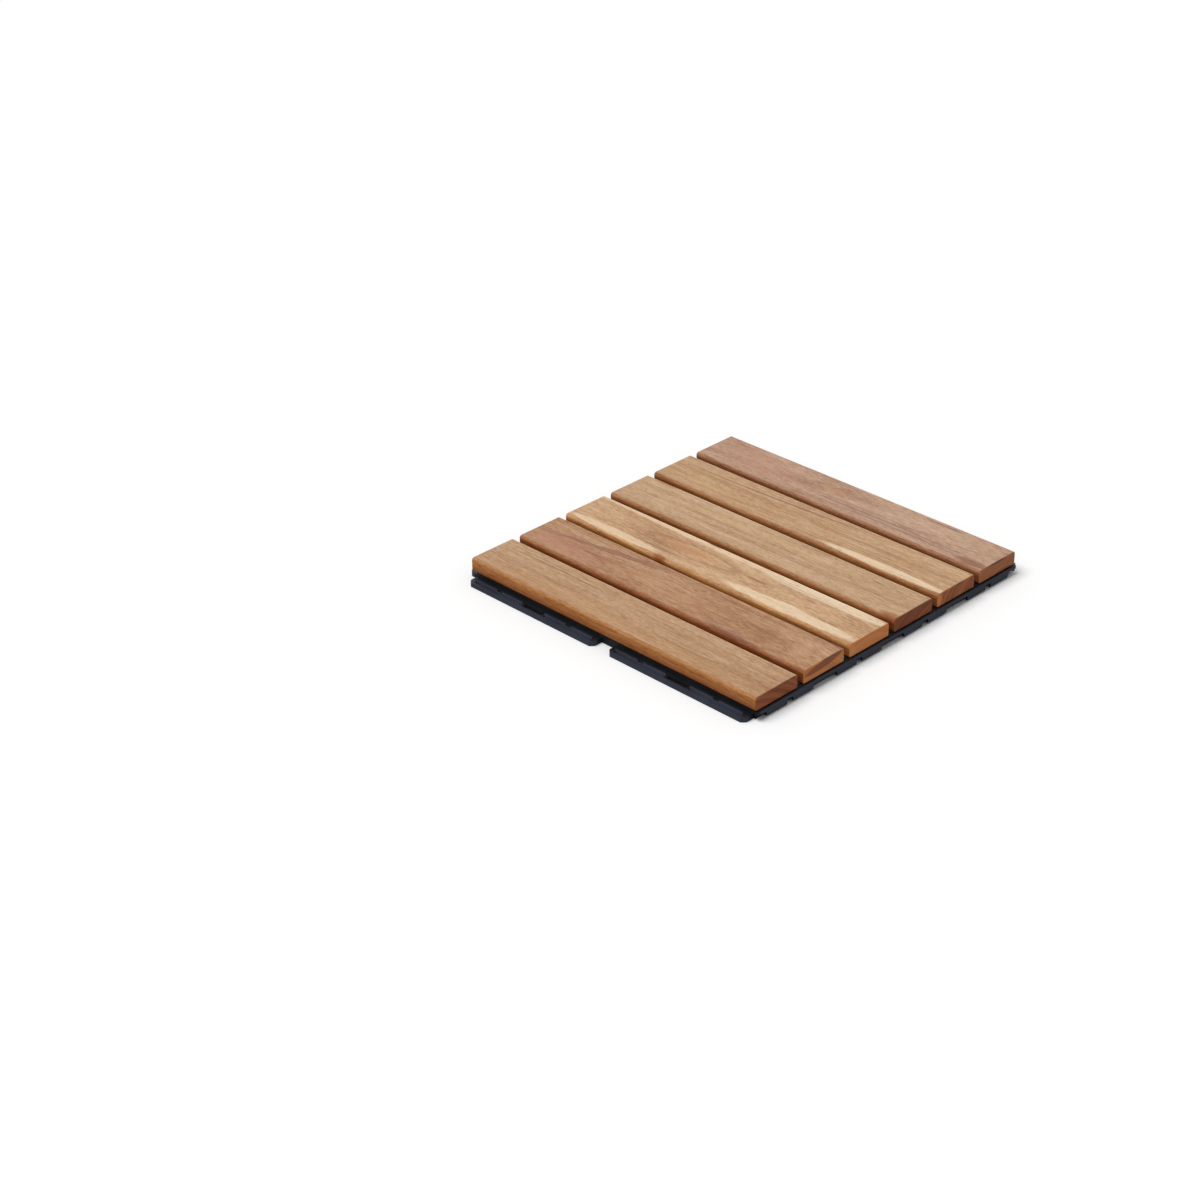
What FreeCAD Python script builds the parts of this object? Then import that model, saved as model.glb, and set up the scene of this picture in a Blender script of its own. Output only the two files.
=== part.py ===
import FreeCAD, Part
import os
import Sketcher

# Interlocking deck tile: six hardwood slats screwed from below to a moulded rib base.
# Slats run along X and lie side by side along Y. Z is up and the base stands on Z = 0.
# The front (-Y) and left (-X) sides carry a slotted flange. The back (+Y) and right (+X) sides
# carry a ledge with hooks that drop into the slots of the next tile's flange.

DRIVING_SIZES = [
    # Deck boards
    ("slat_count", 6),
    ("slat_length", 300),
    ("slat_width", 45),
    ("slat_gap", 6),
    ("slat_thickness", 11.5),
    ("slat_top_round", 2.5),
    ("slat_bottom_round", 1.5),
    # Rib base
    ("base_height", 8.5),
    ("wall_thickness", 2),
    ("rib_thickness", 1.8),
    ("rib_lift", 1.5),
    ("gap_rib_drop", 2.5),
    ("cells_along_slat", 12),
    ("centre_pad_width", 16),
    # Spacing of joined tiles
    ("joint_gap", 6),
    ("joint_clearance", 0.35),
    # Slotted flange
    ("flange_height", 4),
    ("flange_end_setback", 4),
    ("flange_middle_gap", 16),
    ("flange_corner_cut", 3),
    ("rail_thickness", 2),
    ("lip_thickness", 1.4),
    ("lip_height", 1.4),
    ("lip_setback", 0.3),
    ("recess_floor", 1.2),
    ("recess_web", 1.5),
    # Ledge and hooks
    ("pairs_per_flange", 2),
    ("hook_length", 22.5),
    ("hook_spacing", 6),
    ("hook_reach", 2),
    ("hook_thickness", 1.8),
    ("hook_lift", 1.3),
    ("hook_draft", 3),
    ("ledge_thickness", 2.8),
    ("ledge_drop", 0.5),
    ("ledge_setback", 0.5),
    # Screws
    ("screws_per_slat", 2),
    ("screw_end_distance", 22.5),
    ("screw_bite", 8),
    ("shank_diameter", 3.5),
    ("head_diameter", 7),
    ("head_height", 2.2),
    ("drive_recess_width", 1),
    ("drive_recess_span", 4),
    ("drive_recess_depth", 1.2),
    ("boss_width", 11),
    ("counterbore_depth", 3.5),
    ("head_clearance", 0.4),
    ("bore_clearance", 0.3),
    ("pilot_clearance", 0.05),
]

# Sizes worked out from the driving ones, as expressions that the document keeps live
SLAT_PITCH = "(dims.slat_width + dims.slat_gap)"
DECK_WIDTH = f"(dims.slat_count * {SLAT_PITCH} - dims.slat_gap)"
HALF_LENGTH = "(dims.slat_length / 2)"
HALF_WIDTH = f"({DECK_WIDTH} / 2)"

SLOT_INNER = "(dims.joint_gap - dims.hook_reach - dims.joint_clearance)"
SLOT_OUTER = f"({SLOT_INNER} + dims.hook_thickness + 2 * dims.joint_clearance)"
FLANGE_REACH = f"({SLOT_OUTER} + dims.rail_thickness)"
WALL_INSET = f"({FLANGE_REACH} - dims.joint_gap + dims.joint_clearance)"
WALL_MIDDLE = f"({WALL_INSET} + dims.wall_thickness / 2)"

LIP_OUTER = f"({SLOT_INNER} - dims.lip_setback)"
LIP_INNER = f"({LIP_OUTER} - dims.lip_thickness)"
HOOK_START = "(dims.hook_spacing / 2)"
HOOK_END = f"({HOOK_START} + dims.hook_length)"
SLOT_START = f"({HOOK_START} - dims.joint_clearance)"
SLOT_END = f"({HOOK_END} + dims.joint_clearance)"

LEDGE_BOTTOM = "(dims.base_height - dims.ledge_drop - dims.ledge_thickness)"
HOOK_INNER = "(dims.hook_reach - dims.hook_thickness)"
HOOK_DEPTH = f"({LEDGE_BOTTOM} - dims.hook_lift)"
SHANK_RADIUS = "(dims.shank_diameter / 2)"
HEAD_RADIUS = "(dims.head_diameter / 2)"
SCREW_TOP = "(dims.base_height + dims.screw_bite)"
HEAD_BOTTOM = "(dims.counterbore_depth - dims.head_height)"

FEMALE_SIDES = ["front", "left"]
MALE_SIDES = ["back", "right"]
# The back ledge also has a stop at each end, which meets the ends of the next tile's flange.
STOPPED_SIDE = "back"
MIRROR = ("-1", "1")
SAME_LEVEL = 0.01  # mm between two heights that count as one
MM3_PER_CM3 = 1000

doc = FreeCAD.newDocument("deck_tile")
sheet = doc.addObject("Spreadsheet::Sheet", "dims")
for row, (alias, size) in enumerate(DRIVING_SIZES, start=1):
    sheet.set(f"A{row}", alias.replace("_", " "))
    sheet.set(f"B{row}", str(size))
    sheet.setAlias(f"B{row}", alias)
doc.recompute()


def value(expression):
    """Number that an expression has now."""
    return float(sheet.evalExpression(str(expression)))


def count(alias):
    """Whole number of repeats that a size in the sheet stands for."""
    return int(round(value(f"dims.{alias}")))


# Sketches

def new_sketch(body, name, level="0", role="XY_Plane"):
    """Sketch on one of the body's origin planes, or at a distance from it along its normal."""
    plane = [item for item in body.Origin.OriginFeatures if item.Role == role][0]
    sketch = body.newObject("Sketcher::SketchObject", name)
    sketch.AttachmentSupport = (plane, [""])
    sketch.MapMode = "FlatFace"
    sketch.setExpression("AttachmentOffset.Base.z", level)
    return sketch


def held_point(geometry, position, x, y):
    """Named constraints that hold a point at two expressions, measured from the sketch's origin."""
    held = []
    for kind, expression in (("DistanceX", x), ("DistanceY", y)):
        constraint = Sketcher.Constraint(kind, -1, 1, geometry, position, value(expression))
        constraint.Name = f"{kind}_{geometry}_{position}"
        held.append((constraint, expression))
    return held


def constrain(sketch, joined, held):
    """Add all the constraints at once, then bind the named ones to their expressions."""
    sketch.addConstraint(joined + [constraint for constraint, expression in held])
    for constraint, expression in held:
        sketch.setExpression(f"Constraints.{constraint.Name}", expression)


def draw_outlines(sketch, outlines):
    """Closed outlines of straight lines, each through points given as pairs of expressions."""
    lines, joined, held = [], [], []
    for points in outlines:
        first = len(lines)
        corners = [FreeCAD.Vector(value(x), value(y), 0) for x, y in points]
        for index, corner in enumerate(corners):
            following = (index + 1) % len(corners)
            lines.append(Part.LineSegment(corner, corners[following]))
            joined.append(Sketcher.Constraint("Coincident", first + index, 2, first + following, 1))
            held.extend(held_point(first + index, 1, *points[index]))
    sketch.addGeometry(lines)
    constrain(sketch, joined, held)


def draw_circles(sketch, centres, radius):
    """Circles of one radius, the centres given as pairs of expressions."""
    circles, held = [], []
    for geometry, (x, y) in enumerate(centres):
        centre = FreeCAD.Vector(value(x), value(y), 0)
        circles.append(Part.Circle(centre, FreeCAD.Vector(0, 0, 1), value(radius)))
        constraint = Sketcher.Constraint("Radius", geometry, value(radius))
        constraint.Name = f"Radius_{geometry}"
        held.append((constraint, radius))
        held.extend(held_point(geometry, 3, x, y))
    sketch.addGeometry(circles)
    constrain(sketch, [], held)


def box_points(x_low, x_high, y_low, y_high):
    return [(x_low, y_low), (x_high, y_low), (x_high, y_high), (x_low, y_high)]


def middle_box(half_x, half_y):
    """Rectangle about the sketch's origin."""
    return box_points(f"-1 * {half_x}", half_x, f"-1 * {half_y}", half_y)


def cross_points(arm, half_width):
    """Upright cross about the sketch's origin, with square ends."""
    quarter = [(half_width, half_width), (arm, half_width), (arm, f"-1 * {half_width}")]
    points = []
    for turn in range(4):
        points.extend(quarter)
        quarter = [(y, f"-1 * {x}") for x, y in quarter]
    return points


# Features

def add_pad(body, sketch, name, height, downward=False, draft=None):
    """Solid that stands on a sketch, drawn in towards its far end when it has a draft."""
    pad = body.newObject("PartDesign::Pad", name)
    pad.Profile = sketch
    pad.Reversed = downward
    pad.Refine = False
    pad.setExpression("Length", height)
    if draft is not None:
        pad.setExpression("TaperAngle", f"-1 * {draft}")
    return pad


def add_pocket(body, sketch, name, depth, upward=False):
    pocket = body.newObject("PartDesign::Pocket", name)
    pocket.Profile = sketch
    pocket.Reversed = upward
    pocket.Refine = False
    pocket.setExpression("Length", depth)
    return pocket


def finish(body):
    """Merge the faces that the features left in one plane, and check that each pocket cuts."""
    body.Tip.Refine = True
    doc.recompute()
    pockets = [feature for feature in body.Group if feature.TypeId == "PartDesign::Pocket"]
    for pocket in pockets:
        if pocket.Shape.Volume >= pocket.BaseFeature.Shape.Volume:
            raise RuntimeError(f"{pocket.Name} removed nothing")


def long_edges(shape, top):
    """Names of the edges along X at the top or the bottom of a board."""
    board = shape.BoundBox
    level = board.ZMax if top else board.ZMin
    names = []
    for index, edge in enumerate(shape.Edges, start=1):
        reach = edge.BoundBox
        on_level = max(abs(reach.ZMin - level), abs(reach.ZMax - level)) < SAME_LEVEL
        if on_level and reach.XLength > board.XLength - SAME_LEVEL:
            names.append(f"Edge{index}")
    return names


def round_long_edges(body, name, top, radius):
    """Fillet on the body's latest feature, which has to be up to date for its edges to be named."""
    doc.recompute()
    base = body.Tip
    fillet = body.newObject("PartDesign::Fillet", name)
    fillet.Base = (base, long_edges(base.Shape, top))
    fillet.setExpression("Radius", radius)
    return fillet


# Places

def slat_numbers():
    return range(1, count("slat_count") + 1)


def slat_centre(number):
    """Y of a slat's centre line, slats counted from the front."""
    return f"(({number} - (dims.slat_count + 1) / 2) * {SLAT_PITCH})"


def screw_columns():
    """X of each screw of a slat, from the left."""
    span = "(dims.slat_length - 2 * dims.screw_end_distance)"
    share = "/ (dims.screws_per_slat - 1) - 0.5"
    return [f"(({screw} {share}) * {span})" for screw in range(count("screws_per_slat"))]


def screw_places():
    """Plan positions of all the screws."""
    return [(column, slat_centre(number)) for number in slat_numbers() for column in screw_columns()]


def side_half(side):
    """Half the length of a side of the tile."""
    return HALF_LENGTH if side in ("front", "back") else HALF_WIDTH


def side_point(side, along, outward):
    """Plan position from the distance along a side and the distance out from the boards' edge."""
    places = {
        "front": (along, f"-1 * ({HALF_WIDTH} + {outward})"),
        "back": (along, f"{HALF_WIDTH} + {outward}"),
        "left": (f"-1 * ({HALF_LENGTH} + {outward})", along),
        "right": (f"{HALF_LENGTH} + {outward}", along),
    }
    return places[side]


def side_box(side, start, end, inner, outer):
    corners = [(start, inner), (end, inner), (end, outer), (start, outer)]
    return [side_point(side, along, outward) for along, outward in corners]


def pair_centres(side):
    """Middles of the hook pairs on a side, spaced so that joined tiles carry on the row."""
    pairs = len(MIRROR) * count("pairs_per_flange")
    pitch = f"((2 * {side_half(side)} + dims.joint_gap) / {pairs})"
    return [f"(({pair} + 0.5 - {pairs} / 2) * {pitch})" for pair in range(pairs)]


def hook_stretches(side, start, end):
    """Where the two hooks of each pair lie along a side, or the slots that take them."""
    return [
        (f"{centre} + {sign} * {start}", f"{centre} + {sign} * {end}")
        for centre in pair_centres(side)
        for sign in MIRROR
    ]


# Slats

def make_slat(number):
    body = doc.addObject("PartDesign::Body", f"slat_{number}")
    blank = new_sketch(body, f"slat_{number}_blank")
    draw_outlines(blank, [middle_box(HALF_LENGTH, "(dims.slat_width / 2)")])
    add_pad(body, blank, f"slat_{number}_board", "dims.slat_thickness")
    round_long_edges(body, f"slat_{number}_top_round", True, "dims.slat_top_round")
    round_long_edges(body, f"slat_{number}_bottom_round", False, "dims.slat_bottom_round")

    pilots = new_sketch(body, f"slat_{number}_pilots")
    pilot_radius = f"({SHANK_RADIUS} + dims.pilot_clearance)"
    draw_circles(pilots, [(column, "0") for column in screw_columns()], pilot_radius)
    pilot_depth = "dims.screw_bite + dims.pilot_clearance"
    add_pocket(body, pilots, f"slat_{number}_pilot_holes", pilot_depth, upward=True)

    body.setExpression("Placement.Base.y", slat_centre(number))
    body.setExpression("Placement.Base.z", "dims.base_height")
    finish(body)
    return body


# Rib base

def add_rim(body):
    """Wall that runs round under the boards, set in far enough to clear a neighbour's flange."""
    insets = (WALL_INSET, f"({WALL_INSET} + dims.wall_thickness)")
    faces = [middle_box(f"({HALF_LENGTH} - {inset})", f"({HALF_WIDTH} - {inset})") for inset in insets]
    outline = new_sketch(body, "rim_outline")
    draw_outlines(outline, faces)
    add_pad(body, outline, "rim", "dims.base_height")


def rib_lines(middles, end, along_slats):
    """Outlines of parallel ribs that run from rim to rim."""
    outlines = []
    for middle in middles:
        across = (f"{middle} - dims.rib_thickness / 2", f"{middle} + dims.rib_thickness / 2")
        along = (f"-1 * {end}", end)
        outlines.append(box_points(*along, *across) if along_slats else box_points(*across, *along))
    return outlines


def add_ribs(body):
    """Ribs under the slats reach the floor. The others stay off it, so that water runs off."""
    end_x = f"({HALF_LENGTH} - {WALL_MIDDLE})"
    end_y = f"({HALF_WIDTH} - {WALL_MIDDLE})"

    slat_middles = [slat_centre(number) for number in slat_numbers()]
    slat_ribs = new_sketch(body, "slat_rib_lines")
    draw_outlines(slat_ribs, rib_lines(slat_middles, end_x, True))
    add_pad(body, slat_ribs, "slat_ribs", "dims.base_height")

    pitch = "((dims.slat_length + dims.joint_gap) / dims.cells_along_slat)"
    steps = range(1, count("cells_along_slat"))
    cross_middles = [f"({step} - dims.cells_along_slat / 2) * {pitch}" for step in steps]
    cross_ribs = new_sketch(body, "cross_rib_lines", "dims.rib_lift")
    draw_outlines(cross_ribs, rib_lines(cross_middles, end_y, False))
    add_pad(body, cross_ribs, "cross_ribs", "dims.base_height - dims.rib_lift")

    gap_middles = [f"{middle} + {SLAT_PITCH} / 2" for middle in slat_middles[:-1]]
    gap_ribs = new_sketch(body, "gap_rib_lines", "dims.rib_lift")
    draw_outlines(gap_ribs, rib_lines(gap_middles, end_x, True))
    add_pad(body, gap_ribs, "gap_ribs", "dims.base_height - dims.rib_lift - dims.gap_rib_drop")

    half_pad = "(dims.centre_pad_width / 2)"
    centre = new_sketch(body, "centre_pad_outline")
    draw_outlines(centre, [middle_box(half_pad, half_pad)])
    add_pad(body, centre, "centre_pad", "dims.base_height - dims.gap_rib_drop")


def flange_profile(side):
    """Plan of one length of flange, as distances along the side and out from the boards' edge."""
    near, far = "(dims.flange_middle_gap / 2)", f"({side_half(side)} - dims.flange_end_setback)"
    cut = "dims.flange_corner_cut"
    return [
        (near, f"-1 * {WALL_MIDDLE}"),
        (far, f"-1 * {WALL_MIDDLE}"),
        (far, f"({FLANGE_REACH} - {cut})"),
        (f"({far} - {cut})", FLANGE_REACH),
        (f"({near} + {cut})", FLANGE_REACH),
        (near, f"({FLANGE_REACH} - {cut})"),
    ]


def recess_stretches(side):
    """Where the closed recesses lie, between the pairs of slots of one length of flange."""
    centres = pair_centres(side)
    neighbours = zip(centres, centres[1:])
    before_middle_gap = count("pairs_per_flange") - 1
    return [
        (f"{centre} + {SLOT_END} + dims.recess_web", f"{following} - {SLOT_END} - dims.recess_web")
        for index, (centre, following) in enumerate(neighbours)
        if index != before_middle_gap
    ]


def add_flanges(body):
    """Slotted flange in two lengths on each female side, with a raised lip behind each slot."""
    plates, sunk, lips = [], [], []
    for side in FEMALE_SIDES:
        for sign in MIRROR:
            profile = flange_profile(side)
            plates.append([side_point(side, f"{sign} * {along}", outward) for along, outward in profile])
        for slot in hook_stretches(side, SLOT_START, SLOT_END):
            plates.append(side_box(side, *slot, SLOT_INNER, SLOT_OUTER))
            lips.append(side_box(side, *slot, LIP_INNER, LIP_OUTER))
        for centre in pair_centres(side):
            bar = (f"{centre} - {HOOK_START}", f"{centre} + {HOOK_START}")
            sunk.append(side_box(side, *bar, SLOT_INNER, f"({SLOT_OUTER} + dims.rail_thickness / 2)"))
        for recess in recess_stretches(side):
            sunk.append(side_box(side, *recess, LIP_INNER, SLOT_OUTER))

    plate_outlines = new_sketch(body, "flange_outlines")
    draw_outlines(plate_outlines, plates)
    add_pad(body, plate_outlines, "flanges", "dims.flange_height")
    sunk_outlines = new_sketch(body, "recess_outlines", "dims.flange_height")
    draw_outlines(sunk_outlines, sunk)
    add_pocket(body, sunk_outlines, "recesses", "dims.flange_height - dims.recess_floor")
    lip_outlines = new_sketch(body, "lip_outlines", "dims.flange_height")
    draw_outlines(lip_outlines, lips)
    add_pad(body, lip_outlines, "lips", "dims.lip_height")


def add_ledge(body, side):
    """Ledge just under the boards with drafted hooks that hang from its outer edge."""
    end = f"({side_half(side)} - dims.ledge_setback)"
    ledge = new_sketch(body, f"{side}_ledge_outline", LEDGE_BOTTOM)
    draw_outlines(ledge, [side_box(side, f"-1 * {end}", end, f"-1 * {WALL_MIDDLE}", "dims.hook_reach")])
    add_pad(body, ledge, f"{side}_ledge", "dims.ledge_thickness")

    stretches = hook_stretches(side, HOOK_START, HOOK_END)
    if side == STOPPED_SIDE:
        start = f"({side_half(side)} - dims.flange_end_setback + dims.joint_clearance)"
        stretches.extend((f"{sign} * {start}", f"{sign} * {end}") for sign in MIRROR)
    hooks = new_sketch(body, f"{side}_hook_outlines", LEDGE_BOTTOM)
    draw_outlines(hooks, [side_box(side, *hook, HOOK_INNER, "dims.hook_reach") for hook in stretches])
    add_pad(body, hooks, f"{side}_hooks", HOOK_DEPTH, downward=True, draft="dims.hook_draft")


def add_screw_bosses(body):
    """Square bosses under the slats, held up by the ribs, each bored for one screw."""
    half_boss = "(dims.boss_width / 2)"
    squares = [
        box_points(f"{x} - {half_boss}", f"{x} + {half_boss}", f"{y} - {half_boss}", f"{y} + {half_boss}")
        for x, y in screw_places()
    ]
    bosses = new_sketch(body, "boss_outlines", "dims.counterbore_depth")
    draw_outlines(bosses, squares)
    add_pad(body, bosses, "bosses", "dims.base_height - dims.counterbore_depth")
    counterbores = new_sketch(body, "counterbore_outlines")
    draw_circles(counterbores, screw_places(), f"({HEAD_RADIUS} + dims.head_clearance)")
    add_pocket(body, counterbores, "counterbores", "dims.counterbore_depth", upward=True)
    bores = new_sketch(body, "bore_outlines")
    draw_circles(bores, screw_places(), f"({SHANK_RADIUS} + dims.bore_clearance)")
    add_pocket(body, bores, "bores", "dims.base_height", upward=True)


def make_base():
    body = doc.addObject("PartDesign::Body", "base_grid")
    add_rim(body)
    add_ribs(body)
    add_flanges(body)
    for side in MALE_SIDES:
        add_ledge(body, side)
    add_screw_bosses(body)
    finish(body)
    return body


# Screws

def make_screw():
    """One blunt-point screw with a cylinder head, head down, at the height that it has in the tile."""
    body = doc.addObject("PartDesign::Body", "screw")
    profile = new_sketch(body, "screw_profile", role="XZ_Plane")
    draw_outlines(profile, [[
        ("0", HEAD_BOTTOM),
        (HEAD_RADIUS, HEAD_BOTTOM),
        (HEAD_RADIUS, "dims.counterbore_depth"),
        (SHANK_RADIUS, "dims.counterbore_depth"),
        (SHANK_RADIUS, SCREW_TOP),
        ("0", SCREW_TOP),
    ]])
    turned = body.newObject("PartDesign::Revolution", "screw_turning")
    turned.Profile = profile
    turned.ReferenceAxis = (profile, ["V_Axis"])
    turned.Angle = 360

    recess = new_sketch(body, "drive_recess_outline", HEAD_BOTTOM)
    draw_outlines(recess, [cross_points("(dims.drive_recess_span / 2)", "(dims.drive_recess_width / 2)")])
    add_pocket(body, recess, "drive_recess", "dims.drive_recess_depth", upward=True)
    finish(body)
    return body


def make_screws(screw):
    """Linked copies of the screw, one at each boss, as one group of separate solids."""
    links = []
    for number, (x, y) in enumerate(screw_places(), start=1):
        link = doc.addObject("App::Link", f"screw_{number}")
        link.LinkedObject = screw
        link.setExpression("Placement.Base.x", x)
        link.setExpression("Placement.Base.y", y)
        links.append(link)
    group = doc.addObject("Part::Compound", "slat_screws")
    group.Links = links
    doc.recompute()
    return group


slats = [make_slat(number) for number in slat_numbers()]
base = make_base()
screws = make_screws(make_screw())

for item in doc.Objects:
    if "Invalid" in item.State or "Error" in item.State:
        raise RuntimeError(f"{item.Name} failed to recompute: {item.State}")

os.makedirs("parts", exist_ok=True)
for piece in [*slats, base, screws]:
    piece.Label = piece.Name
    if piece.Shape.isNull() or not piece.Shape.isValid():
        raise RuntimeError(f"{piece.Name} has no valid shape")
    piece.Shape.exportStep(f"parts/{piece.Label}.step")
    box = piece.Shape.BoundBox
    volume = piece.Shape.Volume / MM3_PER_CM3
    print(f"{piece.Label}: {len(piece.Shape.Solids)} solid(s), {volume:.1f} cm3, "
          f"{box.XLength:.2f} x {box.YLength:.2f} x {box.ZLength:.2f} mm")
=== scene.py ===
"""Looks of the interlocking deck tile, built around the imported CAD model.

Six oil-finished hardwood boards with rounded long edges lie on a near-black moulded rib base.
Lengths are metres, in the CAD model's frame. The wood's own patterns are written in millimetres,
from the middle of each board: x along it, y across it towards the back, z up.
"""
import math

import bmesh
import bpy
from mathutils import Matrix, Vector


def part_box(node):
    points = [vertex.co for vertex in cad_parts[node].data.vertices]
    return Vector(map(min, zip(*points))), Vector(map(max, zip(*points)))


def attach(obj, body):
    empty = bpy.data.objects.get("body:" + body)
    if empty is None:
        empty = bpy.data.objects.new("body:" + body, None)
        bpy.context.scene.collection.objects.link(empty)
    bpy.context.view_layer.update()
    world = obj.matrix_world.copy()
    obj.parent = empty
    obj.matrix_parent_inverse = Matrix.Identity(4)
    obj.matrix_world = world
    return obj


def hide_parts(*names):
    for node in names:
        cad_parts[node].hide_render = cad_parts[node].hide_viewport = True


MM = 0.001

# Boards, as the CAD model has them
TOP_ROUND = 2.5 * MM
BOTTOM_ROUND = 1.5 * MM
END_ARRIS = 0.35 * MM
ROUND_STEPS = 8

# Camera, fitted to the corners of the photographed boards
PHOTO_WIDTH = 1200.0
FOCAL_PIXELS = 2496.4
SENSOR_WIDTH = 36.0
CAMERA_PLACE = Vector((1.15333, -1.26826, 0.95508))
CAMERA_RIGHT = Vector((0.70164242, 0.71228385, -0.01869839))
CAMERA_DOWN = Vector((0.34099974, -0.35871585, -0.86893159))
CAMERA_FORWARD = Vector((-0.62563335, 0.60330312, -0.49457887))

# Light
SKY = 0.45
SUN = 2.0
SUN_ANGLE = 40
SUN_FROM = Vector((-0.25, -0.45, 1.0))
FLOOR_BOUNCE = 0.32
FLOOR_HALF = 6.0

# Shares of red, green and blue in which the light shows a colour, on top and on the right-hand ends
TOP_LIGHT = (1.035, 1.06, 1.1)
END_LIGHT = (0.39, 0.44, 0.51)

# Painted shade and light on the long sides, darker low and lighter high: between two boards, and on the two
# open sides
GAP_DEEP_PAINTED_SHADE = (0.65, 0.5, 0.3, 1)
GAP_TOP_PAINTED_LIGHT = (1.1, 1.2, 1.2, 1)
FACE_LOW_PAINTED_SHADE = (0.92, 0.74, 0.59, 1)
FACE_HIGH_PAINTED_LIGHT = (1.28, 1.38, 1.2, 1)

# Painted highlight on the rounds along each board's back edge, and painted shade on those along its front
# edge
BACK_ROUND_PAINTED_HIGHLIGHT = (1.4, 1.45, 1.45, 1)
FRONT_ROUND_PAINTED_SHADE = (0.86, 0.86, 0.9, 1)

# The left ends face the key light, so painted shade holds their colour back
LEFT_END_PAINTED_SHADE = (0.66, 0.72, 0.78, 1)

# Moulding, in millimetres out from the boards' square: the lips' inner face, the faces on the near side
# of the slots, the rail's inner face and the edge of the ledge's top
HALF_DECK = 150.0
LIP_INNER = 1.95
SLOT_SIDES = (3.3, 3.7)
RAIL_INNER = 6.15
LEDGE_EDGE = 1.75

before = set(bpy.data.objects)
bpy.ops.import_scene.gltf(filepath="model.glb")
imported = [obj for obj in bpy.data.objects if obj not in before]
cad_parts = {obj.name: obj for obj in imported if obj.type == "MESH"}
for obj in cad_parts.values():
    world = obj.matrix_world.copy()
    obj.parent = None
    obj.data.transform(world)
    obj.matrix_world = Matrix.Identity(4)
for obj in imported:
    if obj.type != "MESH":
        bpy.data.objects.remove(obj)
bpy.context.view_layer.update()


def linear(red, green, blue, light=TOP_LIGHT):
    """Colour for a shader, from the 0 to 255 values that it shows in a light."""
    channels = []
    for channel, strength in zip((red, green, blue), light):
        share = channel / 255.0
        value = share / 12.92 if share <= 0.04045 else ((share + 0.055) / 1.055) ** 2.4
        channels.append(min(value / strength, 1.0))
    return (*channels, 1.0)


class Shader:
    """Short ways to add nodes to one material and join them."""

    def __init__(self, name):
        self.material = bpy.data.materials.new(name)
        self.material.use_nodes = True
        self.tree = self.material.node_tree
        self.tree.nodes.clear()
        self.output = self.add("ShaderNodeOutputMaterial")

    def add(self, kind, **settings):
        node = self.tree.nodes.new(kind)
        for name, setting in settings.items():
            setattr(node, name, setting)
        return node

    def put(self, source, socket):
        """Join an output to an input, or set the input to a plain value."""
        if isinstance(source, bpy.types.NodeSocket):
            self.tree.links.new(source, socket)
        else:
            socket.default_value = source

    def math(self, operation, first, second=0.0):
        node = self.add("ShaderNodeMath", operation=operation)
        self.put(first, node.inputs[0])
        self.put(second, node.inputs[1])
        return node.outputs[0]

    def plus(self, *terms):
        total = terms[0]
        for term in terms[1:]:
            total = self.math("ADD", total, term)
        return total

    def times(self, *factors):
        product = factors[0]
        for factor in factors[1:]:
            product = self.math("MULTIPLY", product, factor)
        return product

    def length(self, first, second):
        return self.math("SQRT", self.plus(self.times(first, first), self.times(second, second)))

    def vector(self, x, y, z):
        node = self.add("ShaderNodeCombineXYZ")
        for socket, source in zip(node.inputs, (x, y, z)):
            self.put(source, socket)
        return node.outputs[0]

    def noise(self, place, scale=1.0, detail=2.0, roughness=0.5):
        node = self.add("ShaderNodeTexNoise")
        self.put(place, node.inputs["Vector"])
        node.inputs["Scale"].default_value = scale
        node.inputs["Detail"].default_value = detail
        node.inputs["Roughness"].default_value = roughness
        return node.outputs["Fac"]

    def step(self, source, low, high):
        """Smooth rise from 0 at low to 1 at high. A low above the high falls instead."""
        node = self.add("ShaderNodeMapRange", interpolation_type="SMOOTHSTEP")
        self.put(source, node.inputs["Value"])
        rising = low <= high
        node.inputs["From Min"].default_value = low if rising else high
        node.inputs["From Max"].default_value = high if rising else low
        node.inputs["To Min"].default_value = 0.0 if rising else 1.0
        node.inputs["To Max"].default_value = 1.0 if rising else 0.0
        return node.outputs["Result"]

    def mix(self, share, first, second, blend="MIX"):
        node = self.add("ShaderNodeMix", data_type="RGBA", blend_type=blend, clamp_result=blend == "MULTIPLY")
        self.put(share, node.inputs["Factor"])
        self.put(first, node.inputs["A"])
        self.put(second, node.inputs["B"])
        return node.outputs["Result"]

    def ramp(self, source, stops):
        node = self.add("ShaderNodeValToRGB")
        self.put(source, node.inputs["Fac"])
        elements = node.color_ramp.elements
        while len(elements) < len(stops):
            elements.new(0.5)
        for element, (position, color) in zip(elements, stops):
            element.position = position
            element.color = color
        return node.outputs["Color"]

    def oval(self, along, across, mark, rough):
        """Distance from the middle of a mark that may slope and bend: 1 on its outline."""
        middle, level = mark["at"]
        run = self.plus(along, -middle)
        line = self.plus(level, self.times(run, mark.get("slope", 0.0)),
                         self.times(run, run, mark.get("bend", 0.0)))
        off = self.plus(across, self.times(line, -1.0), rough)
        return self.length(self.times(off, 1 / mark["half_width"]), self.times(run, 1 / mark["half_length"]))

    def spread(self, reach, mark):
        """Share of a mark's colour at a distance that oval gives, filled or in rings."""
        mask = self.step(reach, 1.0, mark.get("core", 0.4))
        if "rings" in mark:
            wave = self.math("SINE", self.times(reach, 2 * math.pi * mark["rings"]))
            mask = self.times(mask, self.step(wave, 0.1, 0.95))
        return self.times(mask, mark["share"])


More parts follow.
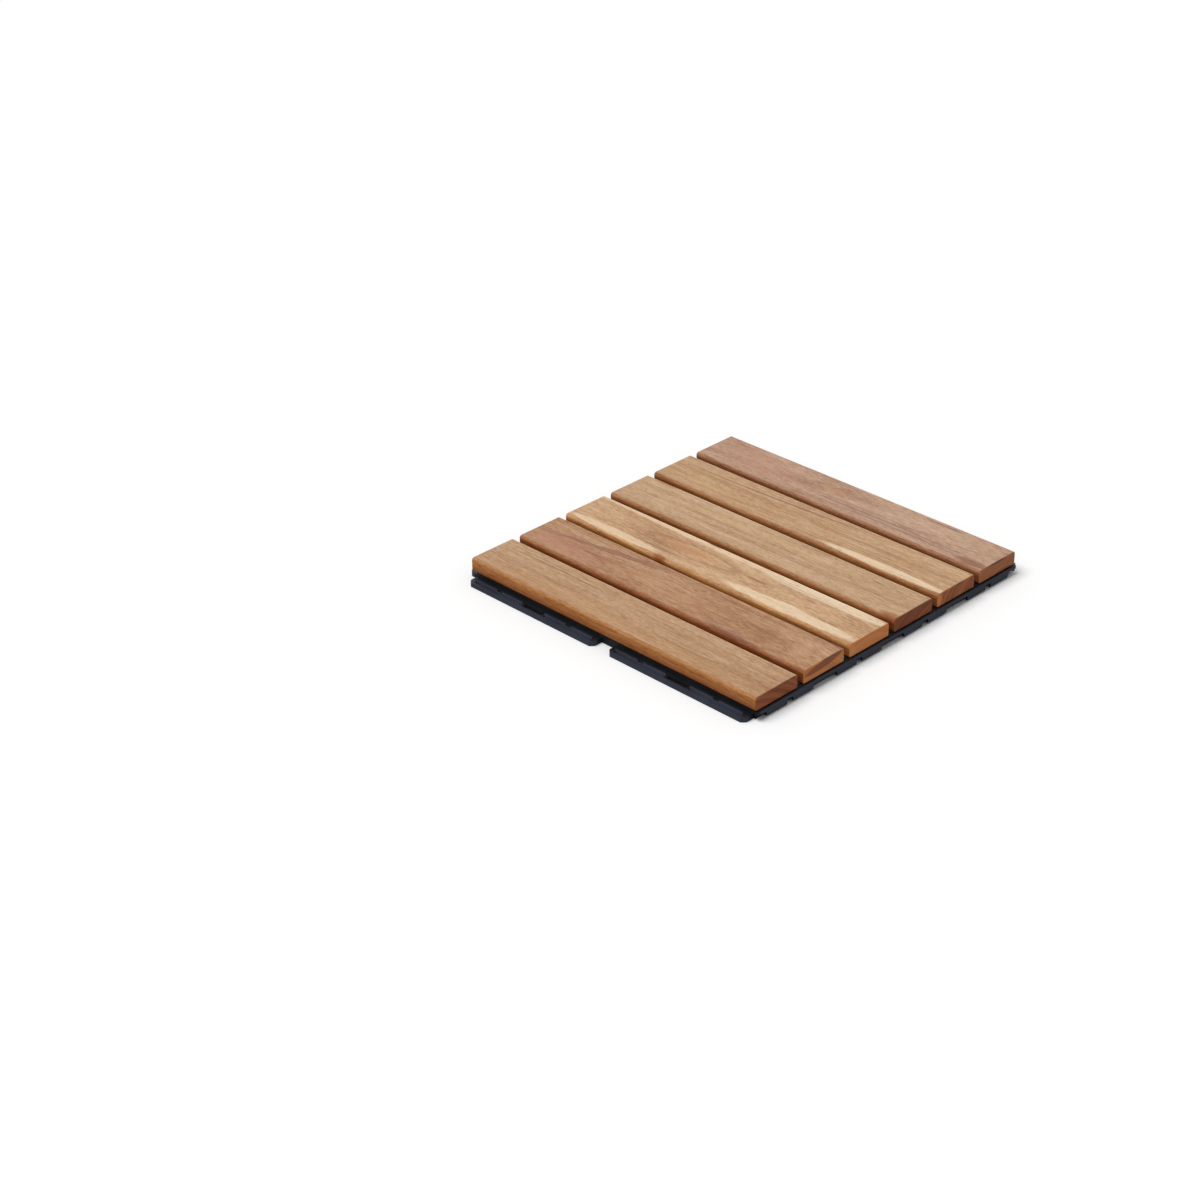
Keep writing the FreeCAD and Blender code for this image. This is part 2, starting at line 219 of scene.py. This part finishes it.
def wood(name, slat, center):
    """Oiled hardwood with its figure fixed in the board, so that it runs on round every face."""
    shader = Shader(name)
    coordinates = shader.add("ShaderNodeTexCoord").outputs["Object"]
    shift = shader.add("ShaderNodeVectorMath", operation="SUBTRACT")
    shader.put(coordinates, shift.inputs[0])
    shift.inputs[1].default_value = center
    scale = shader.add("ShaderNodeVectorMath", operation="SCALE")
    shader.put(shift.outputs[0], scale.inputs[0])
    scale.inputs["Scale"].default_value = 1 / MM
    split = shader.add("ShaderNodeSeparateXYZ")
    shader.put(scale.outputs[0], split.inputs[0])
    x, y, z = split.outputs
    seed = slat["seed"]

    def field(along, across, detail=2.0, roughness=0.5, shift=0.0):
        """Noise about 0, drawn out along the board, with its size along and across it."""
        place = shader.vector(
            shader.plus(shader.times(x, 1 / along), seed + shift),
            shader.times(y, 1 / across),
            shader.times(z, 1 / across),
        )
        return shader.plus(shader.noise(place, 1.0, detail, roughness), -0.5)

    # Growth layers round a heart that lies off the board, bent by slow waves
    wave = field(90, 30, 2.0, 0.5, 3.1)
    heart_y, heart_z = slat["heart"]
    from_heart_y = shader.plus(y, -heart_y, shader.times(x, slat["slope"]), shader.times(wave, slat["wave"]))
    from_heart_z = shader.plus(z, -heart_z, shader.times(x, slat["dip"]))
    radius = shader.length(from_heart_y, from_heart_z)
    rings = shader.vector(shader.times(radius, 1 / slat["layer"]), shader.times(x, 0.004), seed)
    layers = shader.plus(shader.noise(rings, 1.0, 4.0, 0.65), -0.5)
    mottle = field(60, 14, 2.0, 0.55, 7.7)
    fibre = field(16, 0.8, 3.0, 0.7, 1.3)
    speckle = field(5, 1.0, 2.0, 0.65, 29.0)
    tone = shader.plus(0.5, shader.times(layers, slat["contrast"]), shader.times(mottle, 0.5),
                       shader.times(fibre, 0.8), shader.times(speckle, 1.1))
    color = shader.ramp(tone, [
        (0.18, slat["dark"]), (0.42, slat["middle"]), (0.58, slat["light"]), (0.82, slat["pale"])])

    # Streaks, bands and patches that make each board its own
    edge = field(26, 4, 3.0, 0.65, 11.0)
    for mark in slat["marks"]:
        reach = shader.oval(x, y, mark, shader.times(edge, mark.get("rough", 4.0)))
        color = shader.mix(shader.spread(reach, mark), color, mark["color"])

    # Fine fibre over it all, pores and long thin dark lines
    color = shader.mix(shader.step(fibre, -0.02, -0.2), color, slat["fibre"], "MULTIPLY")
    pores = shader.step(field(7, 0.5, 2.0, 0.6, 17.0), 0.07, 0.18)
    color = shader.mix(shader.times(pores, 0.55), color, slat["pore"])
    lines = shader.step(field(110, 1.0, 2.0, 0.5, 23.0), 0.1, 0.22)
    color = shader.mix(shader.times(lines, 0.5), color, slat["pore"])

    # Long sides and cut ends take more oil. Painted highlight and shade on the rounds, painted shade where
    # little light gets down between two boards, painted light and shade up the open sides, and painted shade
    # on the left ends
    normal = shader.add("ShaderNodeNewGeometry").outputs["True Normal"]
    facing = shader.add("ShaderNodeSeparateXYZ")
    shader.put(normal, facing.inputs[0])
    # Painted highlight on the back rounds, painted shade on the front rounds
    for toward, tint in ((1.0, BACK_ROUND_PAINTED_HIGHLIGHT), (-1.0, FRONT_ROUND_PAINTED_SHADE)):
        turned = shader.times(facing.outputs["Y"], toward)
        on_round = shader.times(shader.step(turned, 0.0, 0.2), shader.step(turned, 0.98, 0.75))
        color = shader.mix(on_round, color, shader.mix(1.0, color, tint, "MULTIPLY"))
    front = shader.step(facing.outputs["Y"], -0.05, -0.75)
    back = shader.step(facing.outputs["Y"], 0.75, 0.98)
    side = shader.plus(front, back)
    open_side = shader.step(shader.times(y, slat.get("open_side", 0.0)), 0.0, 1.0)
    # Painted shade low down between two boards and painted light near their top; on the open sides painted
    # shade low and painted light high
    between = shader.mix(shader.step(z, 0.5, 4.0), GAP_DEEP_PAINTED_SHADE, GAP_TOP_PAINTED_LIGHT)
    open_side_painted_light_and_shade = shader.mix(shader.step(z, -4.0, 3.0), FACE_LOW_PAINTED_SHADE, FACE_HIGH_PAINTED_LIGHT)
    oil_and_painted_shade = shader.mix(1.0, color, slat["side_tint"], "MULTIPLY")
    oil_and_painted_shade = shader.mix(1.0, oil_and_painted_shade, shader.mix(open_side, between, open_side_painted_light_and_shade), "MULTIPLY")
    color = shader.mix(side, color, oil_and_painted_shade)
    end = shader.step(shader.math("ABSOLUTE", facing.outputs["X"]), 0.5, 0.9)
    grain = shader.plus(shader.noise(shader.vector(
        shader.times(y, 0.9), shader.times(z, 1.6), seed), 1.0, 4.0, 0.7), -0.5)
    end_tone = shader.plus(0.5, shader.times(layers, 1.1), shader.times(grain, 1.3))
    end_color = shader.ramp(end_tone, [(0.25, slat["end_dark"]), (0.75, slat["end_light"])])
    for mark in slat["end_marks"]:
        reach = shader.oval(y, z, mark, shader.times(grain, 1.2))
        end_color = shader.mix(shader.spread(reach, mark), end_color, mark["color"])
    # Painted shade on the left ends, which face the key light
    left = shader.step(facing.outputs["X"], -0.5, -0.9)
    end_color = shader.mix(left, end_color, shader.mix(1.0, end_color, LEFT_END_PAINTED_SHADE, "MULTIPLY"))
    color = shader.mix(end, color, end_color)

    surface = shader.add("ShaderNodeBsdfPrincipled")
    shader.put(color, surface.inputs["Base Color"])
    roughness = shader.plus(0.55, shader.times(fibre, 0.3), shader.times(pores, 0.08))
    shader.put(roughness, surface.inputs["Roughness"])
    surface.inputs["Specular IOR Level"].default_value = 0.25
    bump = shader.add("ShaderNodeBump")
    bump.inputs["Strength"].default_value = 0.4
    bump.inputs["Distance"].default_value = 0.12 * MM
    shader.put(shader.plus(fibre, shader.times(pores, -0.6)), bump.inputs["Height"])
    shader.put(bump.outputs[0], surface.inputs["Normal"])
    shader.put(surface.outputs[0], shader.output.inputs["Surface"])
    return shader.material


def moulded_plastic(name):
    """Near-black moulding with a dull sheen, with painted shade on its upward faces, in its trough and close
    under the boards, and painted light on the slot sides and the faces that look to +x.
    """
    shader = Shader(name)
    coordinates = shader.add("ShaderNodeTexCoord").outputs["Object"]
    broad = shader.noise(coordinates, 35.0, 3.0, 0.55)
    fine = shader.noise(coordinates, 900.0, 2.0, 0.6)
    color = shader.ramp(shader.plus(shader.times(broad, 0.7), shader.times(fine, 0.3)), [
        (0.35, linear(45, 50, 64)), (0.65, linear(58, 64, 81))])

    split = shader.add("ShaderNodeSeparateXYZ")
    shader.put(coordinates, split.inputs[0])
    x, y = (shader.times(split.outputs[axis], 1 / MM) for axis in "XY")
    past_flanges = shader.plus(shader.times(shader.math("MINIMUM", x, y), -1.0), -HALF_DECK)
    past_ledges = shader.plus(shader.math("MAXIMUM", x, y), -HALF_DECK)
    facing = shader.add("ShaderNodeSeparateXYZ")
    shader.put(shader.add("ShaderNodeNewGeometry").outputs["True Normal"], facing.inputs[0])
    upward = shader.step(facing.outputs["Z"], 0.5, 0.9)
    upright = shader.step(shader.math("ABSOLUTE", facing.outputs["Z"]), 0.5, 0.2)
    not_below = shader.step(facing.outputs["Z"], -0.7, -0.3)

    def band(outward, low, high):
        """Share of a strip that runs round the moulding, between two distances from the boards."""
        return shader.times(shader.step(outward, low - 0.1, low), shader.step(outward, high + 0.1, high))

    # Painted shade on upward faces, in the flange's trough and on the strips close under the boards; painted
    # light on the upright slot sides and on faces that look to +x
    shades = [
        (upward, 0.5),
        (shader.times(upward, band(past_flanges, LIP_INNER, RAIL_INNER)), 0.35),
        (shader.times(not_below, band(past_flanges, -3.0, LIP_INNER)), 0.15),
        (shader.times(not_below, band(past_ledges, -3.0, LEDGE_EDGE)), 0.15),
        (shader.times(upright, band(past_flanges, SLOT_SIDES[0], SLOT_SIDES[1])), 1.9),
        (shader.step(facing.outputs["X"], 0.5, 0.9), 1.25),
    ]
    for share, shade in shades:
        color = shader.mix(share, color, shader.mix(1.0, color, (shade, shade, shade, 1), "MULTIPLY"))

    surface = shader.add("ShaderNodeBsdfPrincipled")
    shader.put(color, surface.inputs["Base Color"])
    shader.put(shader.plus(0.38, shader.times(broad, 0.2)), surface.inputs["Roughness"])
    surface.inputs["Specular IOR Level"].default_value = 0.4
    bump = shader.add("ShaderNodeBump")
    bump.inputs["Strength"].default_value = 0.25
    bump.inputs["Distance"].default_value = 0.1 * MM
    shader.put(shader.plus(fine, broad), bump.inputs["Height"])
    shader.put(bump.outputs[0], surface.inputs["Normal"])
    shader.put(surface.outputs[0], shader.output.inputs["Surface"])
    return shader.material


def zinc_steel(name):
    """Bright zinc on steel, a little patchy."""
    shader = Shader(name)
    coordinates = shader.add("ShaderNodeTexCoord").outputs["Object"]
    patches = shader.noise(coordinates, 700.0, 3.0, 0.6)
    color = shader.ramp(patches, [(0.35, linear(176, 177, 174)), (0.65, linear(206, 206, 200))])
    surface = shader.add("ShaderNodeBsdfPrincipled")
    surface.inputs["Metallic"].default_value = 1.0
    shader.put(color, surface.inputs["Base Color"])
    shader.put(shader.plus(0.25, shader.times(patches, 0.25)), surface.inputs["Roughness"])
    shader.put(surface.outputs[0], shader.output.inputs["Surface"])
    return shader.material


def rounded_outline(low, high, top_round, bottom_round):
    """Cross-section of a board, as (y, z) points, starting at the bottom right corner."""
    corners = [
        (high.y - bottom_round, low.z + bottom_round, bottom_round, -90),
        (high.y - top_round, high.z - top_round, top_round, 0),
        (low.y + top_round, high.z - top_round, top_round, 90),
        (low.y + bottom_round, low.z + bottom_round, bottom_round, 180),
    ]
    points = []
    for y, z, radius, start in corners:
        for step in range(ROUND_STEPS + 1):
            angle = math.radians(start + 90 * step / ROUND_STEPS)
            points.append((y + radius * math.cos(angle), z + radius * math.sin(angle)))
    return points


def make_board(node, material):
    """Board with a fine arris at its sawn ends, in the place of a CAD slat."""
    low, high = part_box(node)
    inset = Vector((END_ARRIS, END_ARRIS, END_ARRIS))
    full = rounded_outline(low, high, TOP_ROUND, BOTTOM_ROUND)
    drawn_in = rounded_outline(low + inset, high - inset, TOP_ROUND - END_ARRIS, BOTTOM_ROUND - END_ARRIS)
    sections = [(low.x, drawn_in), (low.x + END_ARRIS, full), (high.x - END_ARRIS, full), (high.x, drawn_in)]
    mesh = bpy.data.meshes.new(f"{node}_board")
    build = bmesh.new()
    rings = [[build.verts.new((x, y, z)) for y, z in outline] for x, outline in sections]
    count = len(rings[0])
    for ring, following in zip(rings, rings[1:]):
        for index in range(count):
            after = (index + 1) % count
            build.faces.new((ring[index], following[index], following[after], ring[after]))
    build.faces.new(rings[0])
    build.faces.new(rings[-1])
    bmesh.ops.recalc_face_normals(build, faces=build.faces)
    build.to_mesh(mesh)
    build.free()
    mesh.shade_smooth()
    mesh.set_sharp_from_angle(angle=math.radians(32))
    board = bpy.data.objects.new(f"{node}_board", mesh)
    bpy.context.scene.collection.objects.link(board)
    board.data.materials.append(material)
    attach(board, "root")
    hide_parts(node)
    return board


def dress(node, material):
    """Give a CAD node its material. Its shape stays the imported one."""
    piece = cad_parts[node]
    piece.data.materials.clear()
    piece.data.materials.append(material)


SLATS = {
    "slat_1": {
        "open_side": -1.0,
        "seed": 4.0, "heart": (-30, -60), "slope": 0.004, "dip": 0.02, "wave": 4.0, "layer": 3.4,
        "contrast": 1.0, "dark": linear(160, 117, 80), "middle": linear(178, 140, 105),
        "light": linear(188, 152, 118), "pale": linear(200, 168, 136),
        "pore": linear(132, 91, 62), "fibre": (0.86, 0.81, 0.76, 1), "side_tint": (0.86, 0.56, 0.36, 1),
        "end_dark": linear(88, 49, 31, END_LIGHT), "end_light": linear(130, 79, 53, END_LIGHT),
        "marks": [
            {"at": (0, -14), "half_length": 175, "half_width": 9, "share": 0.3,
             "color": linear(188, 140, 96)},
            {"at": (-82, 11), "half_length": 72, "half_width": 0.9, "share": 0.6, "rough": 2.0,
             "color": linear(126, 88, 62)},
            {"at": (-98, 14.5), "half_length": 48, "half_width": 0.7, "share": 0.5, "rough": 2.0,
             "color": linear(130, 92, 66)},
            {"at": (-60, 7), "half_length": 50, "half_width": 0.6, "share": 0.4, "rough": 2.5,
             "color": linear(134, 96, 68)},
            {"at": (90, -8), "half_length": 60, "half_width": 0.8, "share": 0.5, "rough": 2.0,
             "color": linear(134, 96, 68)},
            {"at": (60, -4), "half_length": 44, "half_width": 0.6, "share": 0.4, "rough": 2.5,
             "color": linear(138, 100, 70)},
            {"at": (112, 6), "half_length": 40, "half_width": 0.7, "share": 0.35, "rough": 2.5,
             "color": linear(140, 102, 74)},
        ],
        "end_marks": [
            {"at": (10, 5.3), "half_length": 14, "half_width": 1.1, "bend": -0.004, "share": 0.7,
             "color": linear(62, 47, 43, END_LIGHT)},
        ],
    },
    "slat_2": {
        "seed": 11.0, "heart": (-12, -26), "slope": -0.01, "dip": 0.05, "wave": 9.0, "layer": 3.2,
        "contrast": 1.2, "dark": linear(150, 102, 70), "middle": linear(172, 129, 95),
        "light": linear(183, 143, 109), "pale": linear(198, 162, 128),
        "pore": linear(122, 80, 56), "fibre": (0.85, 0.79, 0.75, 1), "side_tint": (0.8, 0.5, 0.33, 1),
        "end_dark": linear(140, 89, 56, END_LIGHT), "end_light": linear(165, 114, 74, END_LIGHT),
        "marks": [
            {"at": (-110, -9), "half_length": 58, "half_width": 15, "share": 0.5, "rough": 9.0,
             "color": linear(178, 127, 106)},
            {"at": (0, -5), "half_length": 80, "half_width": 10, "share": 0.5, "rough": 5.0,
             "color": linear(192, 150, 112)},
            {"at": (-5, -6), "half_length": 92, "half_width": 16, "share": 0.3, "rings": 3.0, "rough": 11.0,
             "core": 0.6, "color": linear(144, 98, 68)},
            {"at": (-86, -4), "half_length": 15, "half_width": 1.0, "share": 0.7, "rough": 2.0,
             "color": linear(116, 75, 52)},
            {"at": (-80, 9.2), "slope": 0.16, "half_length": 86, "half_width": 3.2, "share": 0.7,
             "rough": 5.0, "color": linear(138, 90, 76)},
            {"at": (-60, 9.5), "slope": 0.15, "half_length": 60, "half_width": 0.9, "share": 0.6,
             "rough": 3.0, "color": linear(108, 68, 54)},
            {"at": (96, -4), "half_length": 17, "half_width": 15, "share": 0.45, "rough": 10.0,
             "color": linear(150, 104, 74)},
            {"at": (130, -2), "half_length": 10, "half_width": 17, "share": 0.45, "rough": 8.0,
             "color": linear(200, 162, 126)},
            {"at": (143, 21), "half_length": 18, "half_width": 3.0, "share": 0.7,
             "color": linear(130, 90, 82)},
            {"at": (78, -20), "half_length": 38, "half_width": 2.4, "share": 0.7,
             "color": linear(132, 88, 76)},
        ],
        "end_marks": [
            {"at": (0, 2.0), "slope": 0.11, "half_length": 23, "half_width": 3.6, "share": 0.85,
             "core": 0.75, "color": linear(106, 64, 45, END_LIGHT)},
            {"at": (8, 5.2), "half_length": 15, "half_width": 1.2, "share": 0.8,
             "color": linear(74, 62, 64, END_LIGHT)},
        ],
    },
    "slat_3": {
        "seed": 21.0, "heart": (0, -34), "slope": 0.0, "dip": 0.04, "wave": 8.0, "layer": 4.0,
        "contrast": 1.2, "dark": linear(166, 123, 89), "middle": linear(191, 152, 116),
        "light": linear(203, 167, 130), "pale": linear(218, 185, 150),
        "pore": linear(148, 104, 70), "fibre": (0.88, 0.84, 0.78, 1), "side_tint": (1.0, 0.74, 0.5, 1),
        "end_dark": linear(152, 94, 55, END_LIGHT), "end_light": linear(166, 114, 73, END_LIGHT),
        "marks": [
            {"at": (-30, 1), "half_length": 80, "half_width": 14, "share": 0.38, "rings": 2.2, "rough": 7.0,
             "core": 0.6, "color": linear(146, 108, 80)},
            {"at": (-35, 2), "half_length": 36, "half_width": 7, "share": 0.55, "rough": 5.0,
             "color": linear(203, 150, 103)},
            {"at": (35, 2), "half_length": 15, "half_width": 1.8, "share": 0.7, "rough": 2.0,
             "color": linear(142, 92, 62)},
            {"at": (-55, -11.5), "half_length": 30, "half_width": 1.4, "share": 0.7, "rough": 2.5,
             "color": linear(146, 116, 94)},
            {"at": (85, -15.5), "half_length": 76, "half_width": 7.0, "share": 0.9, "rough": 6.0,
             "core": 0.72, "color": linear(233, 209, 178)},
            {"at": (-100, -17), "half_length": 58, "half_width": 5.0, "share": 0.85, "rough": 5.0,
             "core": 0.7, "color": linear(231, 206, 174)},
            {"at": (-10, 19.5), "half_length": 170, "half_width": 4.2, "share": 0.85, "rough": 5.0,
             "core": 0.7, "color": linear(232, 206, 175)},
            {"at": (95, 16.5), "half_length": 74, "half_width": 6.4, "share": 0.9, "rough": 6.0,
             "core": 0.72, "color": linear(234, 211, 181)},
            {"at": (-45, -21.5), "half_length": 10, "half_width": 2.6, "share": 0.85,
             "color": linear(150, 88, 44)},
            {"at": (-25, 21), "half_length": 9, "half_width": 2.0, "share": 0.8,
             "color": linear(150, 96, 56)},
        ],
        "end_marks": [
            {"at": (-19, -1), "half_length": 5, "half_width": 8, "share": 0.7,
             "color": linear(164, 116, 76, END_LIGHT)},
            {"at": (6, 5.5), "half_length": 16, "half_width": 0.8, "share": 0.4,
             "color": linear(110, 76, 56, END_LIGHT)},
        ],
    },
    "slat_4": {
        "seed": 33.0, "heart": (40, -70), "slope": 0.003, "dip": 0.015, "wave": 4.0, "layer": 3.0,
        "contrast": 1.1, "dark": linear(164, 126, 90), "middle": linear(186, 152, 118),
        "light": linear(195, 162, 129), "pale": linear(208, 178, 146),
        "pore": linear(140, 102, 70), "fibre": (0.87, 0.84, 0.79, 1), "side_tint": (0.76, 0.48, 0.31, 1),
        "end_dark": linear(80, 45, 30, END_LIGHT), "end_light": linear(120, 72, 48, END_LIGHT),
        "marks": [
            {"at": (0, 9), "half_length": 165, "half_width": 2.6, "share": 0.45, "rough": 3.0,
             "color": linear(208, 172, 122)},
            {"at": (-127, 20.5), "half_length": 17, "half_width": 3.4, "share": 0.8,
             "color": linear(166, 108, 62)},
            {"at": (145, -20), "half_length": 14, "half_width": 5.5, "share": 0.8,
             "color": linear(154, 97, 58)},
            {"at": (105, 12), "half_length": 5, "half_width": 0.8, "share": 0.9, "rough": 0.5,
             "color": linear(92, 62, 44)},
            {"at": (30, -7), "half_length": 90, "half_width": 0.8, "share": 0.45, "rough": 2.5,
             "color": linear(146, 110, 80)},
            {"at": (-60, 2), "half_length": 70, "half_width": 0.8, "share": 0.4, "rough": 2.5,
             "color": linear(150, 114, 84)},
        ],
        "end_marks": [
            {"at": (10, 5.2), "half_length": 14, "half_width": 1.1, "share": 0.8,
             "color": linear(70, 59, 60, END_LIGHT)},
        ],
    },
    "slat_5": {
        "seed": 45.0, "heart": (60, -50), "slope": -0.02, "dip": 0.01, "wave": 5.0, "layer": 3.2,
        "contrast": 1.2, "dark": linear(162, 120, 84), "middle": linear(184, 147, 111),
        "light": linear(194, 158, 122), "pale": linear(208, 176, 141),
        "pore": linear(138, 96, 65), "fibre": (0.87, 0.82, 0.77, 1), "side_tint": (0.76, 0.49, 0.32, 1),
        "end_dark": linear(96, 56, 36, END_LIGHT), "end_light": linear(140, 88, 59, END_LIGHT),
        "marks": [
            {"at": (-30, 12), "slope": 0.0528, "bend": 0.000266, "half_length": 122, "half_width": 0.8,
             "share": 0.8, "rough": 1.0, "core": 0.5, "color": linear(116, 79, 54)},
            {"at": (95, -17.2), "half_length": 72, "half_width": 5.0, "share": 0.9, "rough": 3.5,
             "core": 0.72, "color": linear(232, 208, 176)},
            {"at": (-90, -10), "half_length": 62, "half_width": 1.6, "share": 0.55, "rough": 2.5,
             "color": linear(210, 170, 114)},
            {"at": (-70, -15), "half_length": 70, "half_width": 1.2, "share": 0.45, "rough": 2.5,
             "color": linear(206, 168, 118)},
            {"at": (40, 2), "half_length": 80, "half_width": 0.8, "share": 0.45, "rough": 2.5,
             "color": linear(146, 106, 76)},
            {"at": (90, -9), "half_length": 60, "half_width": 0.9, "share": 0.5, "rough": 2.0,
             "color": linear(144, 102, 72)},
        ],
        "end_marks": [
            {"at": (-20, 0), "half_length": 4.5, "half_width": 8, "share": 0.8,
             "color": linear(160, 108, 66, END_LIGHT)},
            {"at": (4, 5.2), "half_length": 9, "half_width": 1.1, "share": 0.8,
             "color": linear(72, 58, 58, END_LIGHT)},
        ],
    },
    "slat_6": {
        "open_side": 1.0,
        "seed": 57.0, "heart": (10, -40), "slope": 0.008, "dip": 0.03, "wave": 8.0, "layer": 3.6,
        "contrast": 1.2, "dark": linear(150, 111, 88), "middle": linear(178, 142, 118),
        "light": linear(189, 155, 131), "pale": linear(204, 173, 148),
        "pore": linear(128, 92, 74), "fibre": (0.86, 0.82, 0.8, 1), "side_tint": (0.76, 0.49, 0.34, 1),
        "end_dark": linear(102, 64, 46, END_LIGHT), "end_light": linear(142, 94, 66, END_LIGHT),
        "marks": [
            {"at": (-98, 0), "half_length": 60, "half_width": 24, "share": 0.4, "rough": 14.0,
             "color": linear(188, 141, 120)},
            {"at": (-20, 4), "half_length": 22, "half_width": 6, "share": 0.4, "rough": 6.0,
             "color": linear(198, 150, 110)},
            {"at": (50, -9), "bend": -0.0003, "half_length": 96, "half_width": 1.6, "share": 0.65,
             "rough": 3.0, "color": linear(138, 107, 98)},
            {"at": (62, -13.5), "bend": -0.0003, "half_length": 84, "half_width": 1.3, "share": 0.6,
             "rough": 3.0, "color": linear(134, 102, 92)},
            {"at": (34, -4.5), "bend": -0.0003, "half_length": 76, "half_width": 1.1, "share": 0.5,
             "rough": 3.0, "color": linear(142, 110, 98)},
            {"at": (138, -16), "half_length": 24, "half_width": 6.0, "share": 0.75,
             "color": linear(130, 80, 60)},
            {"at": (85, 17), "half_length": 30, "half_width": 1.6, "share": 0.7, "rough": 2.5,
             "color": linear(130, 95, 80)},
        ],
        "end_marks": [
            {"at": (0, 5.0), "half_length": 15, "half_width": 1.6, "share": 0.9,
             "color": linear(66, 52, 50, END_LIGHT)},
        ],
    },
}

for node, slat in SLATS.items():
    low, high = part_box(node)
    make_board(node, wood(f"{node}_wood", slat, (low + high) / 2))
dress("base_grid", moulded_plastic("black_moulding"))
dress("slat_screws", zinc_steel("zinc_steel"))


def make_floor():
    """White to the camera, and dim enough to others not to light the tile from below."""
    shader = Shader("floor_paper")
    coordinates = shader.add("ShaderNodeTexCoord").outputs["Object"]
    seen = shader.add("ShaderNodeLightPath").outputs["Is Camera Ray"]
    shades = []
    for share in (0.9, 1.0):
        grey = FLOOR_BOUNCE * share
        shades.append((share, (grey, grey, grey, 1)))
    plain = shader.ramp(shader.noise(coordinates, 3.0), shades)
    color = shader.mix(seen, plain, (1.0, 1.0, 1.0, 1))
    surface = shader.add("ShaderNodeBsdfDiffuse")
    shader.put(color, surface.inputs["Color"])
    shader.put(surface.outputs[0], shader.output.inputs["Surface"])
    corners = [(FLOOR_HALF * x, FLOOR_HALF * y, 0) for x, y in ((-1, -1), (1, -1), (1, 1), (-1, 1))]
    mesh = bpy.data.meshes.new("floor")
    mesh.from_pydata(corners, [], [(0, 1, 2, 3)])
    mesh.materials.append(shader.material)
    floor = bpy.data.objects.new("floor", mesh)
    bpy.context.scene.collection.objects.link(floor)


def make_light():
    """Plain studio: an even sky, white to the camera and to gloss, and one soft key."""
    world = bpy.data.worlds.new("studio")
    world.use_nodes = True
    tree = world.node_tree
    tree.nodes.clear()
    path = tree.nodes.new("ShaderNodeLightPath")
    seen = tree.nodes.new("ShaderNodeMath")
    seen.operation = "MAXIMUM"
    tree.links.new(path.outputs["Is Camera Ray"], seen.inputs[0])
    tree.links.new(path.outputs["Is Glossy Ray"], seen.inputs[1])
    strength = tree.nodes.new("ShaderNodeMapRange")
    strength.inputs["To Min"].default_value = SKY
    strength.inputs["To Max"].default_value = 1.0
    tree.links.new(seen.outputs[0], strength.inputs["Value"])
    background = tree.nodes.new("ShaderNodeBackground")
    background.inputs["Color"].default_value = (1, 1, 1, 1)
    tree.links.new(strength.outputs["Result"], background.inputs["Strength"])
    output = tree.nodes.new("ShaderNodeOutputWorld")
    tree.links.new(background.outputs[0], output.inputs["Surface"])
    bpy.context.scene.world = world

    lamp = bpy.data.lights.new("key", "SUN")
    lamp.energy = SUN
    lamp.angle = math.radians(SUN_ANGLE)
    key = bpy.data.objects.new("key", lamp)
    key.rotation_euler = SUN_FROM.to_track_quat("Z", "Y").to_euler()
    bpy.context.scene.collection.objects.link(key)


def make_camera():
    data = bpy.data.cameras.new("camera")
    data.sensor_width = SENSOR_WIDTH
    data.lens = FOCAL_PIXELS / PHOTO_WIDTH * SENSOR_WIDTH
    camera = bpy.data.objects.new("camera", data)
    turn = Matrix((CAMERA_RIGHT, -CAMERA_DOWN, -CAMERA_FORWARD)).transposed()
    camera.matrix_world = Matrix.Translation(CAMERA_PLACE) @ turn.to_4x4()
    bpy.context.scene.collection.objects.link(camera)
    bpy.context.scene.camera = camera


make_floor()
make_light()
make_camera()
bpy.context.scene.view_settings.view_transform = "Standard"
